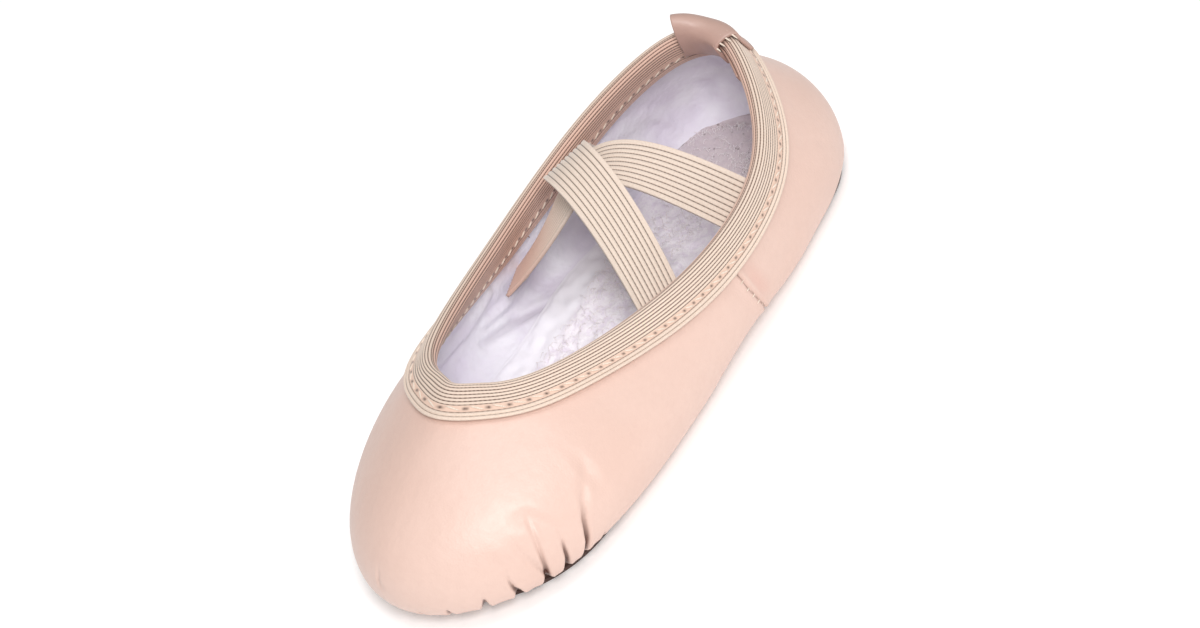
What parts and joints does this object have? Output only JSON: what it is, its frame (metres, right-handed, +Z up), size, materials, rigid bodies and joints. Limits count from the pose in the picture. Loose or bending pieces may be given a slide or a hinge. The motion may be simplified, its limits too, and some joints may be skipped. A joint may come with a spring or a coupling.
{
  "type": "ballet slipper",
  "caption": "soft split-sole leather dance slipper with an elastic collar binding and crossed elastic instep straps",
  "frame": {"origin": "middle of the shoe's box in plan, on the floor under the sole pads", "axes": "+X from heel to toe, +Y to the shoe's left side, +Z up"},
  "size_m": [0.175, 0.075, 0.0528],
  "materials": {
    "upper_leather": "smooth, softly glossy",
    "sole_suede": "napped, matt",
    "insole_fleece": "brushed, matt",
    "binding_elastic": "ribbed, matt",
    "facing_leather": "smooth, matt",
    "tab_leather": "smooth, softly glossy",
    "strap_elastic": "ribbed, matt"
  },
  "bodies": {
    "root": {"upper": "upper_leather", "forefoot_sole": "sole_suede", "heel_sole": "sole_suede", "insole": "insole_fleece", "collar_binding": "binding_elastic", "heel_facing": "facing_leather", "heel_tab": "tab_leather", "strap_front": "strap_elastic", "strap_rear": "strap_elastic"}
  },
  "joints": []
}
